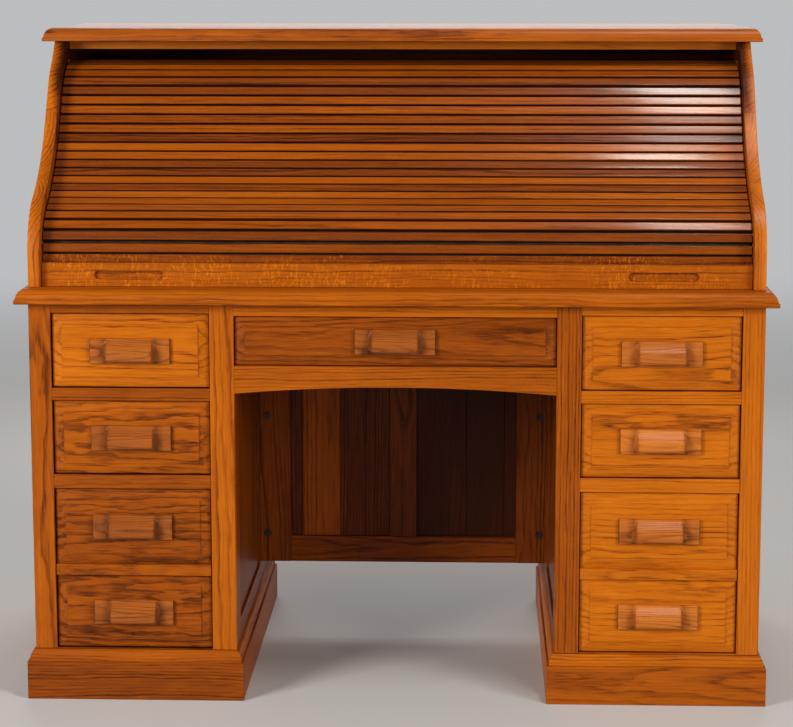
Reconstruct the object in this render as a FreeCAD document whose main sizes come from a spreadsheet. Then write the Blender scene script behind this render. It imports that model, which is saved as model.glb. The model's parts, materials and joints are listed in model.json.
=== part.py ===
import FreeCAD, Part
import math
import os
import re
from FreeCAD import Placement, Rotation, Vector

# Roll top desk: two pedestals of drawers, a writing slab and a slatted curtain (the tambour)
# that runs between two S-shaped side boards and is stored flat under the top board.
# +X is across the desk, +Y runs from the front to the back, +Z is up. The origin is on the
# floor under the middle of the desk. Depths in the sheet are measured from the face plane,
# which is the front of the face frames, and face_y puts that plane in the desk's own frame.

DIMENSIONS = [
    ("face_y", -354.5, "face plane, from the middle of the desk's depth"),
    ("carcass_half", 662, "half the width over the pedestals' outer sides"),
    ("carcass_back", 690, "depth of the pedestals"),
    ("knee_half", 291, "half the kneehole's width"),
    ("outer_stile", 40, "face frame stile at the desk's end"),
    ("inner_stile", 44, "face frame stile beside the kneehole"),
    ("back_thick", 10, "pedestal back panels"),
    ("frame_thick", 20, "face frame and drawer front thickness"),
    ("side_thick", 18, "frame and panel sides"),
    ("panel_thick", 8, "panels held in the frames"),
    ("panel_set", 5, "how far a panel lies behind its frame"),
    ("side_stile", 58, "stiles and rails of the framed sides"),
    ("side_middle", 326, "depth of the front edge of an outer side's middle stile"),
    ("plinth_out", 14, "how far the plinth stands out all round"),
    ("plinth_face", 71, "height of the plinth's flat face"),
    ("plinth_top", 93, "top of the moulded cap round the pedestal's foot"),
    ("plinth_board", 22, "thickness of the plinth boards"),
    ("cap_in", 3, "how far the cap steps in from the plinth's face"),
    ("file_floor", 94, "bottom of the file drawer's opening"),
    ("split_low", 232, "lower edge of the file front's false rail"),
    ("split_high", 252, "upper edge of the file front's false rail"),
    ("rail_gap", 1, "gap between the false rail and the fields on either side"),
    ("rail_stand", 1, "how far the false rail stands out from the face plane"),
    ("file_head", 394, "top of the file drawer's opening"),
    ("middle_floor", 420, "bottom of the middle drawer's opening"),
    ("middle_head", 557, "top of the middle drawer's opening"),
    ("upper_floor", 580, "bottom of the upper drawer's opening"),
    ("upper_head", 717, "top of the upper drawer's opening"),
    ("centre_floor", 622, "bottom of the centre drawer's opening"),
    ("centre_head", 713, "top of the centre drawer's opening"),
    ("apron_low", 571, "apron's lower edge at its ends"),
    ("apron_arch", 13, "rise of the apron's arch at its middle"),
    ("slab_under", 736, "underside of the writing slab"),
    ("slab_top", 763, "top of the writing slab"),
    ("slab_half", 683, "half the width of the slab and of the top board"),
    ("slab_front", 28, "how far the slab's nose stands out from the face plane"),
    ("slab_back", 737, "depth of the slab's and the top board's back edge"),
    ("front_gap", 1.5, "gap round a drawer front"),
    ("bevel_width", 19, "width of the bevel round a drawer front's raised field"),
    ("bevel_low", 7, "depth of the bevel's outer edge behind the field"),
    ("bevel_high", 2, "step between the bevel's inner edge and the field"),
    ("box_thick", 12, "drawer box sides and back"),
    ("box_bottom", 6, "drawer box bottom"),
    ("box_groove", 4, "height of a drawer bottom over the sides' lower edges"),
    ("box_gap", 3, "gap beside a drawer box"),
    ("box_lift", 0.5, "running gap under a drawer box"),
    ("box_deep", 590, "length of a pedestal drawer's box"),
    ("centre_deep", 418, "length of the centre drawer's box"),
    ("shallow_side", 112, "height of a shallow drawer's side"),
    ("file_side", 250, "height of the file drawer's side"),
    ("centre_side", 70, "height of the centre drawer's side"),
    ("runner_high", 16, "height of a runner under a drawer"),
    ("guide_high", 18, "height of the guide strip beside a drawer"),
    ("runner_end", 672, "depth of the runners' back ends"),
    ("runner_reach", 16, "how far a runner reaches in past the drawer opening's edge"),
    ("guide_reach", 1, "how far a guide strip reaches in past the drawer opening's edge"),
    ("centre_runner", 40, "width of a runner under the centre drawer"),
    ("centre_guide", 22, "width of a guide strip beside the centre drawer"),
    ("runner_short", 4, "gap between the centre runners' ends and the modesty panel"),
    ("centre_play", 2, "gap between the centre drawer's box and its guide strips"),
    ("pull_wide", 146, "pull's back plate, along the front"),
    ("pull_high", 46, "pull's back plate, up the front"),
    ("pull_plate", 6, "thickness of the pull's back plate"),
    ("grip_wide", 90, "pull's raised grip"),
    ("grip_out", 24, "how far the grip stands out"),
    ("grip_spread", 8, "how much further the grip reaches at its foot than at its nose, each end"),
    ("grip_rise", 6, "height of the nose's lower edge over the plate's"),
    ("grip_edge", 2, "plate left clear over and under the grip's foot"),
    ("modesty_front", 476, "depth of the modesty panel's face"),
    ("modesty_low", 134, "modesty panel's lower edge"),
    ("modesty_stile", 62, "modesty panel's end stiles"),
    ("modesty_muntin", 55, "modesty panel's middle stile"),
    ("modesty_rail", 54, "modesty panel's rails"),
    ("bolt_in", 16, "modesty bolts, in from the pedestal"),
    ("bolt_low", 194, "lower modesty bolts"),
    ("bolt_high", 437, "upper modesty bolts"),
    ("shank_radius", 3.5, "modesty bolt shank"),
    ("bolt_head", 7, "modesty bolt head radius"),
    ("bolt_out", 3, "how far a modesty bolt's head stands out"),
    ("roll_thick", 22, "S-shaped side board"),
    ("roll_back_y", 725, "depth of the side boards' back edge"),
    ("reveal", 25, "side board's edge stands this far out from the slats' faces"),
    ("cheek_turn", 35, "lean at which the side board's edge leaves the curtain's line"),
    ("cheek_top", 314, "depth at which the side board's edge meets the top board"),
    ("track_depth", 8, "depth of the track cut in a side board"),
    ("track_play", 2, "play of the track round the curtain"),
    ("canvas_y", 40, "depth of the curtain's canvas where it hangs upright"),
    ("upright_end", 820, "height where the curtain starts to lean back"),
    ("foot_radius", 80, "canvas bend radius at the foot of the S"),
    ("foot_lean", 28, "lean above the horizontal after the foot bend"),
    ("waist_radius", 370, "canvas bend radius at the hollow of the S"),
    ("waist_lean", 59, "lean above the horizontal after the hollow"),
    ("crown_radius", 105, "canvas bend radius at the crown of the S"),
    ("store_fall", 3, "the flat store under the top board falls back by this many degrees"),
    ("canvas_crown", 1148, "highest level of the canvas"),
    ("tail_radius", 50, "canvas bend radius at the back of the store"),
    ("tail_y", 680, "depth of the canvas line down the back"),
    ("tail_end", 900, "height where the track ends at the back"),
    ("slat_pitch", 20, "spacing of the slats along the canvas"),
    ("slat_face", 15.5, "width of a slat's face"),
    ("slat_base", 17, "width of a slat at the canvas"),
    ("slat_thick", 10, "slat thickness"),
    ("slat_play", 1, "gap between a slat's end and the side board"),
    ("canvas_gap", 0.3, "gap between the canvas and the slats' backs"),
    ("canvas_play", 4, "gap between the canvas's edge and the side board"),
    ("canvas_thick", 1, "canvas thickness"),
    ("rail_high", 43, "lift rail height"),
    ("rail_proud", 12, "lift rail's face stands out from the slats' faces"),
    ("rail_lift", 0.5, "gap between the closed lift rail and the slab"),
    ("lip_gap", 1, "gap over that slat, for the canvas to bend at"),
    ("lip_high", 15, "narrow slat fixed above the lift rail"),
    ("grip_slot_x", 481, "lift rail's finger grooves, from the middle"),
    ("grip_slot_z", 21, "lift rail's finger grooves, above the slab"),
    ("grip_slot_long", 126, "finger groove length"),
    ("grip_slot_high", 16, "finger groove height"),
    ("grip_slot_deep", 7, "finger groove depth"),
    ("top_under", 1195, "underside of the top board"),
    ("top_height", 1221, "overall height"),
    ("top_nose", 295, "depth of the top board's nose"),
    ("frieze_y", 350, "depth of the frieze rail's face"),
    ("frieze_low", 1179, "frieze rail's lower edge"),
    ("frieze_thick", 20, "frieze rail thickness"),
    ("gallery_half", 600, "half the width of the pigeonhole case"),
    ("gallery_y", 400, "depth of the pigeonhole case's front"),
    ("gallery_deep", 205, "pigeonhole case, front to back"),
    ("gallery_top", 1000, "top of the pigeonhole case"),
    ("gallery_board", 8, "boards of the pigeonhole case"),
    ("gallery_shelf", 836, "shelf over the small drawers"),
    ("gallery_outer", 392, "divider beside the small drawer's bay"),
    ("gallery_inner", 96, "divider beside the middle bay"),
    ("gallery_upper", 906, "upper shelf in the end and middle bays"),
    ("gallery_set", 4, "how far the shelves and dividers lie behind the case's front"),
    ("gallery_back", 6, "back board of the pigeonhole case"),
    ("divider", 6, "dividers between the upright pigeonholes"),
    ("small_front", 10, "small drawer's front thickness"),
    ("small_side", 7, "small drawer's sides and back"),
    ("small_bottom", 4, "small drawer's bottom"),
    ("small_gap", 1, "gap round a small drawer"),
    ("small_set", 2, "how far a small drawer's front lies behind the case's front"),
    ("small_short", 10, "gap between a small drawer's back and the case's back"),
    ("small_drop", 14, "how far the sides lie below the top of a small drawer's front"),
    ("knob_radius", 9, "small drawer's knob"),
    ("knob_out", 14, "how far the knob stands out"),
]

ALIASES = {name for name, _, _ in DIMENSIONS}
SIDES = (("left", -1), ("right", 1))
PLANKS = (0, 0.5, 0.88, 1)    # joints of a modesty panel's planks, as shares of its width
NODES = []

doc = FreeCAD.newDocument("RollTopDesk")
sheet = doc.addObject("Spreadsheet::Sheet", "Dims")
for row, (name, value, note) in enumerate(DIMENSIONS, start=1):
    sheet.set(f"A{row}", name)
    sheet.set(f"B{row}", str(value))
    sheet.set(f"C{row}", note)
    sheet.setAlias(f"B{row}", name)
doc.recompute()


def dim(name):
    """The sheet's value for an alias, in millimetres or degrees."""
    return float(sheet.get(name))


def expression(text):
    """Turn words such as slab_top into references to the sheet."""
    def refer(word):
        return "Dims." + word.group() if word.group() in ALIASES else word.group()
    return re.sub(r"[a-z]\w+", refer, str(text))


def bind(piece, **values):
    """Bind an object's properties to expressions over the sheet."""
    for prop, text in values.items():
        piece.setExpression(prop, expression(text))
    return piece


def place(piece, x="0", y="0", z="0"):
    """Bind an object's position, with its depth measured from the face plane."""
    for axis, text in (("x", x), ("y", f"face_y + {y}"), ("z", z)):
        piece.setExpression(f".Placement.Base.{axis}", expression(text))
    return piece


def span(side, near, far):
    """Lowest x and width of a stretch between two distances from the middle, on one side."""
    low = near if side > 0 else f"-({far})"
    return low, f"({far}) - ({near})"


def box(x, y, z, name="block"):
    """A block from (low, size) along x and from (low, high) along y and z."""
    piece = doc.addObject("Part::Box", name)
    bind(piece, Length=x[1], Width=f"({y[1]}) - ({y[0]})", Height=f"({z[1]}) - ({z[0]})")
    return place(piece, x[0], y[0], z[0])


def both(half):
    """A stretch across the desk, the same distance either side of the middle."""
    return f"-({half})", f"2 * ({half})"


def rod(x, y, z, radius, length, name="rod"):
    """A cylinder along +Y."""
    piece = doc.addObject("Part::Cylinder", name)
    bind(piece, Radius=radius, Height=length)
    piece.Placement.Rotation = Rotation(Vector(1, 0, 0), -90)
    return place(piece, x, y, z)


def node(label, pieces):
    """A named node that holds one piece or a group of separate pieces."""
    if len(pieces) == 1:
        result = pieces[0]
    else:
        result = doc.addObject("Part::Compound", label)
        result.Links = pieces
    result.Label = label
    NODES.append(result)


def fuse(pieces, name="joined"):
    joined = doc.addObject("Part::MultiFuse", name)
    joined.Shapes = pieces
    joined.Refine = True
    return joined


def cut(base, tools, name="cut"):
    """A piece with one or more tools taken out of it."""
    result = doc.addObject("Part::Cut", name)
    result.Base = base
    result.Tool = fuse(tools) if len(tools) > 1 else tools[0]
    return result


# ---------------------------------------------------------------- the curtain's line
def curtain_line(outward=0.0):
    """The canvas line of the curtain, moved outwards by a distance, as a list of stretches.

    A stretch is ("line", start, end) or ("arc", centre, radius, first lean, last lean, turn):
    points are (depth from the face plane, height), a lean is in radians above the horizontal,
    and turn is -1 for a bend that rounds over and 1 for a hollow bend.
    """
    foot, waist = math.radians(dim("foot_lean")), math.radians(dim("waist_lean"))
    fall = -math.radians(dim("store_fall"))
    crown = dim("crown_radius")
    stretches = []
    place_now = [dim("canvas_y") - outward, dim("slab_top")]
    lean = math.pi / 2

    def straight(length):
        start = tuple(place_now)
        place_now[0] += length * math.cos(lean)
        place_now[1] += length * math.sin(lean)
        stretches.append(("line", start, tuple(place_now), lean))

    def bend(radius, last):
        nonlocal lean
        turn = -1 if last < lean else 1
        size = radius - turn * outward
        centre = (place_now[0] - turn * size * math.sin(lean),
                  place_now[1] + turn * size * math.cos(lean))
        stretches.append(("arc", centre, size, lean, last, turn))
        place_now[0] = centre[0] + turn * size * math.sin(last)
        place_now[1] = centre[1] - turn * size * math.cos(last)
        lean = last

    straight(dim("upright_end") - dim("slab_top"))
    bend(dim("foot_radius"), foot)
    bend(dim("waist_radius"), waist)
    rise = (crown + outward) * (1 - math.cos(waist))
    straight((dim("canvas_crown") + outward - rise - place_now[1]) / math.sin(waist))
    bend(crown, fall)
    store_end = dim("tail_y") + outward - (dim("tail_radius") + outward) * (1 + math.sin(fall))
    straight((store_end - place_now[0]) / math.cos(fall))
    bend(dim("tail_radius"), -math.pi / 2)
    straight(place_now[1] - dim("tail_end"))
    return stretches


def stretch_point(stretch, lean):
    """The point of an arc stretch where the line has a given lean."""
    _, centre, size, _, _, turn = stretch
    return (centre[0] + turn * size * math.sin(lean), centre[1] - turn * size * math.cos(lean))


def along_line(distance):
    """Point and lean of the canvas line at a distance from the slab."""
    for stretch in curtain_line():
        if stretch[0] == "line":
            length = math.dist(stretch[1], stretch[2])
            if distance <= length:
                share = distance / length
                point = [a + share * (b - a) for a, b in zip(stretch[1], stretch[2])]
                return point, stretch[3]
        else:
            length = stretch[2] * abs(stretch[4] - stretch[3])
            if distance <= length:
                lean = stretch[3] + stretch[5] * distance / stretch[2]
                return stretch_point(stretch, lean), lean
        distance -= length
    raise ValueError("the curtain is longer than its line")


def edge_of(stretch, last=None):
    """A sketch edge for a stretch, cut short at a lean if one is given."""
    face = dim("face_y")

    def at(point):
        return Vector(point[0] + face, point[1], 0)
    if stretch[0] == "line":
        return Part.LineSegment(at(stretch[1]), at(stretch[2]))
    last = stretch[4] if last is None else last
    leans = (stretch[3], (stretch[3] + last) / 2, last)
    return Part.Arc(*[at(stretch_point(stretch, lean)) for lean in leans])


def profile(body, name, plane, edges, offset):
    """A sketch on one of a body's origin planes, moved along the plane's normal."""
    sketch = body.newObject("Sketcher::SketchObject", name)
    role = next(f for f in body.Origin.OriginFeatures if f.Role == plane)
    sketch.AttachmentSupport = (role, [""])
    sketch.MapMode = "FlatFace"
    sketch.setExpression(".AttachmentOffset.Base.z", expression(offset))
    sketch.addGeometry(edges, False)
    return sketch


def join_up(points):
    """Straight sketch edges through a list of (depth, height) points."""
    face = dim("face_y")
    corners = [Vector(y + face, z, 0) for y, z in points]
    return [Part.LineSegment(a, b) for a, b in zip(corners, corners[1:])]


# ---------------------------------------------------------------- pedestals
def plinth(name, side):
    """A base of four boards that stands out all round, and a cap strip planted on it."""
    near, far = "knee_half - plinth_out", "carcass_half + plinth_out"
    front, back = "-plinth_out", "carcass_back"
    between, face = (f"{front} + plinth_board", f"{back} - plinth_board"), ("0", "plinth_face")
    boards = [
        box(span(side, near, far), (front, f"{front} + plinth_board"), face),
        box(span(side, near, far), (f"{back} - plinth_board", back), face),
        box(span(side, near, f"{near} + plinth_board"), between, face),
        box(span(side, f"{far} - plinth_board", far), between, face),
    ]
    cap = ("plinth_face", "plinth_top")
    strips = [
        box(span(side, f"{near} + cap_in", f"{far} - cap_in"), (f"{front} + cap_in", "0"), cap),
        box(span(side, f"{near} + cap_in", "knee_half"), ("0", back), cap),
        box(span(side, "carcass_half", f"{far} - cap_in"), ("0", back), cap),
    ]
    node(f"{name}_plinth", boards + strips)


def face_frame(name, side):
    """Two stiles and the rails between the drawers."""
    depth = ("0", "frame_thick")
    inner = ("knee_half", "knee_half + inner_stile")
    outer = ("carcass_half - outer_stile", "carcass_half")
    pieces = [box(span(side, *stile), depth, ("plinth_face", "slab_under")) for stile in (inner, outer)]
    for low, high in (("plinth_face", "file_floor"), ("file_head", "middle_floor"),
                      ("middle_head", "upper_floor"), ("upper_head", "slab_under")):
        pieces.append(box(span(side, inner[1], outer[0]), depth, (low, high)))
    node(f"{name}_face_frame", pieces)


def framed_side(label, side, near, middle):
    """A side of stiles and rails with two thinner panels set into it.

    middle is the depth of the middle stile's front edge.
    """
    whole = span(side, near, f"{near} + side_thick")
    low, high = "plinth_face", "slab_under"
    front, back = "frame_thick", "carcass_back"
    inside = (f"{front} + side_stile", f"{back} - side_stile")
    middle_end = f"{middle} + side_stile"
    panel = span(side, f"{near} + panel_set", f"{near} + panel_set + panel_thick")
    panel_high = (f"{low} + side_stile", f"{high} - side_stile")
    node(label, [
        box(whole, (front, inside[0]), (low, high)),
        box(whole, (inside[1], back), (low, high)),
        box(whole, inside, (low, f"{low} + side_stile")),
        box(whole, inside, (f"{high} - side_stile", high)),
        box(whole, (middle, middle_end), panel_high),
        box(panel, (inside[0], middle), panel_high),
        box(panel, (middle_end, inside[1]), panel_high),
    ])


def pedestal_boards():
    """Back panels and bottom boards of both pedestals."""
    backs, bottoms = [], []
    for _, side in SIDES:
        inside = span(side, "knee_half + side_thick", "carcass_half - side_thick")
        backs.append(box(inside, ("carcass_back - back_thick", "carcass_back"), ("file_floor", "slab_under")))
        bottoms.append(box(inside, ("frame_thick", "carcass_back"), ("plinth_face", "file_floor")))
    node("pedestal_backs", backs)
    node("pedestal_bottoms", bottoms)


def runners(name, side):
    """A runner and a guide strip on each side of the upper and middle drawers."""
    depth = ("frame_thick", "runner_end")
    inner, outer = "knee_half + side_thick", "carcass_half - side_thick"
    pieces = []
    for floor in ("middle_floor", "upper_floor"):
        under = (f"{floor} - runner_high", floor)
        beside = (floor, f"{floor} + guide_high")
        pieces += [
            box(span(side, inner, "knee_half + inner_stile + runner_reach"), depth, under),
            box(span(side, "carcass_half - outer_stile - runner_reach", outer), depth, under),
            box(span(side, inner, "knee_half + inner_stile + guide_reach"), depth, beside),
            box(span(side, "carcass_half - outer_stile - guide_reach", outer), depth, beside),
        ]
    beside = ("file_floor", "file_floor + guide_high")
    pieces += [
        box(span(side, inner, "knee_half + inner_stile + guide_reach"), depth, beside),
        box(span(side, "carcass_half - outer_stile - guide_reach", outer), depth, beside),
    ]
    node(f"{name}_runners", pieces)


# ---------------------------------------------------------------- drawers
def raised_field(x, z):
    """A bevelled field standing on a drawer front: x and z are (low, high) expressions."""
    inset = "bevel_width"
    wedge = doc.addObject("Part::Wedge", "bevel")
    bind(wedge,
         Xmin=f"({x[0]}) + {inset}", Xmax=f"({x[1]}) - {inset}", X2min=x[0], X2max=x[1],
         Zmin=f"({z[0]}) + {inset}", Zmax=f"({z[1]}) - {inset}", Z2min=z[0], Z2max=z[1],
         Ymin="face_y + bevel_high", Ymax="face_y + bevel_low")
    field = box((f"({x[0]}) + {inset}", f"({x[1]}) - ({x[0]}) - 2 * {inset}"), ("0", "frame_thick"),
                (f"({z[0]}) + {inset}", f"({z[1]}) - {inset}"))
    return [wedge, field]


def opening(side):
    """Low and high x of a pedestal's drawer front, or of the centre drawer's for side 0."""
    if side == 0:
        return "-(knee_half - front_gap)", "knee_half - front_gap"
    near, far = "knee_half + inner_stile + front_gap", "carcass_half - outer_stile - front_gap"
    return (near, far) if side > 0 else (f"-({far})", f"-({near})")


def plain_front(label, side, floor, head):
    """A drawer front of one board with a raised field."""
    x, z = opening(side), (f"{floor} + front_gap", f"{head} - front_gap")
    backing = box((x[0], f"({x[1]}) - ({x[0]})"), ("bevel_low", "frame_thick"), z)
    node(label, [fuse([backing] + raised_field(x, z))])


def file_front(label, side):
    """The deep drawer's front: two raised fields and a false rail make it look like two drawers."""
    x = opening(side)
    width = (x[0], f"({x[1]}) - ({x[0]})")
    low, high = "file_floor + front_gap", "file_head - front_gap"
    backing = box(width, ("bevel_low", "frame_thick"), (low, high))
    fields = raised_field(x, (low, "split_low - rail_gap")) + raised_field(x, ("split_high + rail_gap", high))
    rail = box(width, ("-rail_stand", "bevel_low"), ("split_low", "split_high"))
    node(label, [fuse([backing] + fields), rail])


def drawer_box(label, x, floor, length, height):
    """Sides, back and bottom of a drawer box that is open at the front, behind its front board."""
    low = f"{floor} + box_lift"
    high = f"{low} + {height}"
    width = f"({x[1]}) - ({x[0]})"
    end = f"frame_thick + {length}"
    inside = (f"({x[0]}) + box_thick", f"{width} - 2 * box_thick")
    bottom = (f"{low} + box_groove", f"{low} + box_groove + box_bottom")
    node(label, [
        box((x[0], "box_thick"), ("frame_thick", end), (low, high)),
        box((f"({x[1]}) - box_thick", "box_thick"), ("frame_thick", end), (low, high)),
        box(inside, (f"{end} - box_thick", end), (low, high)),
        box(inside, ("frame_thick", f"{end} - box_thick"), bottom),
    ])


def pull(x, z):
    """A wooden pull: a back plate with a grip that slopes out to a nose and is undercut."""
    grip = doc.addObject("Part::Wedge", "grip")
    bind(grip, Xmin="-grip_wide / 2", Xmax="grip_wide / 2",
         X2min="-grip_wide / 2 - grip_spread", X2max="grip_wide / 2 + grip_spread",
         Ymin="-grip_out", Ymax="-pull_plate",
         Zmin="-pull_high / 2 + grip_rise", Zmax="0",
         Z2min="-pull_high / 2 + grip_edge", Z2max="pull_high / 2 - grip_edge")
    place(grip, x, "0", z)
    plate = box((f"{x} - pull_wide / 2", "pull_wide"), ("-pull_plate", "0"),
                (f"{z} - pull_high / 2", f"{z} + pull_high / 2"))
    return fuse([plate, grip], "pull")


def pedestal_drawers(name, side):
    """Two shallow drawers over a deep file drawer."""
    middle = f"{side} * (knee_half + inner_stile + carcass_half - outer_stile) / 2"
    x = [f"({edge}) {sign} box_gap" for edge, sign in zip(opening(side), "+-")]
    for which, floor, head in (("upper", "upper_floor", "upper_head"),
                               ("middle", "middle_floor", "middle_head")):
        plain_front(f"{name}_{which}_front", side, floor, head)
        drawer_box(f"{name}_{which}_box", x, floor, "box_deep", "shallow_side")
        node(f"{name}_{which}_pull", [pull(middle, f"({floor} + {head}) / 2")])
    file_front(f"{name}_file_front", side)
    drawer_box(f"{name}_file_box", x, "file_floor", "box_deep", "file_side")
    node(f"{name}_file_pulls", [pull(middle, "(file_floor + split_low) / 2"),
                                pull(middle, "(split_high + file_head) / 2")])


def centre_drawer():
    plain_front("centre_front", 0, "centre_floor", "centre_head")
    half = "(knee_half - centre_guide - centre_play)"
    drawer_box("centre_box", (f"-{half}", half), "centre_floor", "centre_deep", "centre_side")
    node("centre_pull", [pull("0", "(centre_floor + centre_head) / 2")])


# ---------------------------------------------------------------- kneehole
def kneehole():
    """Rail, arched apron, runners and the framed modesty panel with its cleats and bolts."""
    face = ("0", "frame_thick")
    node("kneehole_rail", [box(both("knee_half"), face, ("centre_head", "slab_under"))])

    radius = "(knee_half * knee_half + apron_arch * apron_arch) / (2 * apron_arch)"
    blank = box(both("knee_half"), face, ("apron_low", "centre_floor"))
    arch = rod("0", "-1", f"apron_low + apron_arch - {radius}", radius, "frame_thick + 2", "arch")
    node("kneehole_apron", [cut(blank, [arch])])

    strips = []
    for _, side in SIDES:
        depth = ("frame_thick", "modesty_front - runner_short")
        strips.append(box(span(side, "knee_half - centre_runner", "knee_half"), depth,
                          ("centre_floor - runner_high", "centre_floor")))
        strips.append(box(span(side, "knee_half - centre_guide", "knee_half"), depth,
                          ("centre_floor", "centre_floor + guide_high")))
    node("centre_runners", strips)

    back = "modesty_front + side_thick"
    depth, high = ("modesty_front", back), ("modesty_low", "slab_under")
    bolts, cleats, stiles = [], [], []
    for _, side in SIDES:
        stile = box(span(side, "knee_half - modesty_stile", "knee_half"), depth, high)
        cleat = box(span(side, "knee_half - 2 * bolt_in", "knee_half"), (back, f"{back} + side_thick"), high)
        for wood, wood_front, kept in ((stile, "modesty_front", stiles), (cleat, back, cleats)):
            holes = [rod(f"{side} * (knee_half - bolt_in)", f"{wood_front} - 1", height,
                         "shank_radius", "side_thick + 2", "hole") for height in ("bolt_low", "bolt_high")]
            kept.append(cut(wood, holes))
        for height in ("bolt_low", "bolt_high"):
            x = f"{side} * (knee_half - bolt_in)"
            head = rod(x, "modesty_front - bolt_out", height, "bolt_head", "bolt_out", "bolt_head_disc")
            shank = rod(x, "modesty_front - 1", height, "shank_radius", "2 * side_thick + 1", "shank")
            bolts.append(fuse([head, shank], "bolt"))
    inside = "knee_half - modesty_stile"
    muntin = "modesty_muntin / 2"
    rails = [
        box(both(inside), depth, ("modesty_low", "modesty_low + modesty_rail")),
        box(both(inside), depth, ("slab_under - modesty_rail", "slab_under")),
        box(both(muntin), depth, ("modesty_low + modesty_rail", "slab_under - modesty_rail")),
    ]
    panel_depth = ("modesty_front + panel_set", "modesty_front + panel_set + panel_thick")
    panel_high = ("modesty_low + modesty_rail", "slab_under - modesty_rail")
    panels = []
    room = f"({inside} - {muntin})"
    for _, side in SIDES:
        for first, last in zip(PLANKS, PLANKS[1:]):
            plank = span(side, f"{muntin} + {room} * {first}", f"{muntin} + {room} * {last}")
            panels.append(box(plank, panel_depth, panel_high))
    node("modesty_panel", stiles + rails + panels)
    node("modesty_cleats", cleats)
    node("modesty_bolts", bolts)


# ---------------------------------------------------------------- slab, roll sides and top
def roll_side(name, side):
    """An S-shaped side board with the curtain's track cut in its inner face."""
    outward = dim("slat_thick") + dim("reveal")
    line = curtain_line(outward)
    turn = math.radians(dim("cheek_turn"))
    edges = [edge_of(stretch) for stretch in line[:4]] + [edge_of(line[4], turn)]
    back, under, low = dim("roll_back_y"), dim("top_under"), dim("slab_top")
    corners = [stretch_point(line[4], turn), (dim("cheek_top"), under), (back, under), (back, low),
               line[0][1]]
    edges += join_up(corners)

    body = doc.addObject("PartDesign::Body", f"{name}_roll_side")
    start = "carcass_half - roll_thick" if side > 0 else "-carcass_half"
    board = body.newObject("PartDesign::Pad", "board")
    board.Profile = profile(body, "outline", "YZ_Plane", edges, start)
    board.setExpression("Length", expression("roll_thick"))

    outer = curtain_line(dim("slat_thick") + dim("track_play"))
    inner = curtain_line(-dim("canvas_thick") - dim("track_play"))
    track_edges = [edge_of(stretch) for stretch in outer + inner]
    track_edges += join_up([outer[0][1], inner[0][1]]) + join_up([outer[-1][2], inner[-1][2]])
    track = body.newObject("PartDesign::Pocket", "track")
    track.Profile = profile(body, "track_line", "YZ_Plane", track_edges,
                            f"{side} * (carcass_half - roll_thick)")
    track.setExpression("Length", expression("2 * track_depth"))
    track.Midplane = True
    node(f"{name}_roll_side", [body])


def slab_and_top():
    node("writing_slab", [box(both("slab_half"), ("-slab_front", "slab_back"), ("slab_under", "slab_top"))])
    inside = both("carcass_half - roll_thick")
    node("frieze_rail", [box(inside, ("frieze_y", "frieze_y + frieze_thick"), ("frieze_low", "top_under"))])
    node("top_board", [box(both("slab_half"), ("top_nose", "slab_back"), ("top_under", "top_height"))])

    low, high, rail = "slab_top", "top_under", "side_stile"
    front, back = "roll_back_y - side_thick", "roll_back_y"
    clear = "carcass_half - roll_thick - side_stile"
    pieces = [
        box(inside, (front, back), (low, f"{low} + {rail}")),
        box(inside, (front, back), (f"{high} - {rail}", high)),
        box(both(f"{rail} / 2"), (front, back), (f"{low} + {rail}", f"{high} - {rail}")),
    ]
    for _, side in SIDES:
        pieces.append(box(span(side, clear, f"{clear} + {rail}"), (front, back),
                          (f"{low} + {rail}", f"{high} - {rail}")))
        pieces.append(box(span(side, f"{rail} / 2", clear),
                          (f"{front} + panel_set", f"{front} + panel_set + panel_thick"),
                          (f"{low} + {rail}", f"{high} - {rail}")))
    node("roll_back", pieces)


# ---------------------------------------------------------------- curtain
def slat(number):
    """One slat, narrower at its face than at the canvas, set square to the canvas line."""
    half = "(carcass_half - roll_thick - slat_play)"
    distance = dim("rail_high") + dim("lip_high") + (number + 0.5) * dim("slat_pitch")
    point, lean = along_line(distance)
    piece = doc.addObject("Part::Wedge", "slat")
    bind(piece, Xmin=f"-{half}", Xmax=half, X2min=f"-{half}", X2max=half, Ymin="-slat_thick", Ymax="0",
         Zmin="-slat_face / 2", Zmax="slat_face / 2", Z2min="-slat_base / 2", Z2max="slat_base / 2")
    piece.Placement = Placement(Vector(0, dim("face_y") + point[0], point[1]),
                                Rotation(Vector(1, 0, 0), math.degrees(lean) - 90))
    return piece


def curtain(links=8, slats_in_link=3):
    """The lift rail, eight links of three slats and the canvas that they are glued to."""
    half = "carcass_half - roll_thick - slat_play"
    face = "canvas_y - slat_thick - rail_proud"
    rail = box(both(half), (face, "canvas_y"), ("slab_top + rail_lift", "slab_top + rail_high"))
    lip = box(both(half), ("canvas_y - slat_thick", "canvas_y"),
              ("slab_top + rail_high", "slab_top + rail_high + lip_high - lip_gap"))
    grooves = []
    for side in (-1, 1):
        reach = "(grip_slot_long - grip_slot_high) / 2"
        middle = f"{side} * grip_slot_x"
        height = "slab_top + grip_slot_z"
        grooves.append(box((f"{middle} - {reach}", f"2 * {reach}"),
                           (f"{face} - 1", f"{face} + grip_slot_deep"),
                           (f"{height} - grip_slot_high / 2", f"{height} + grip_slot_high / 2")))
        grooves += [rod(f"{middle} + {end} * {reach}", f"{face} - 1", height, "grip_slot_high / 2",
                        "grip_slot_deep + 1") for end in (-1, 1)]
    node("lift_rail", [cut(fuse([rail, lip]), grooves)])
    for link in range(links):
        first = link * slats_in_link
        node(f"tambour_link_{link + 1}", [slat(first + step) for step in range(slats_in_link)])

    length = dim("rail_high") + dim("lip_high") + links * slats_in_link * dim("slat_pitch")
    node("tambour_canvas", [canvas(dim("rail_high"), length)])


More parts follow.
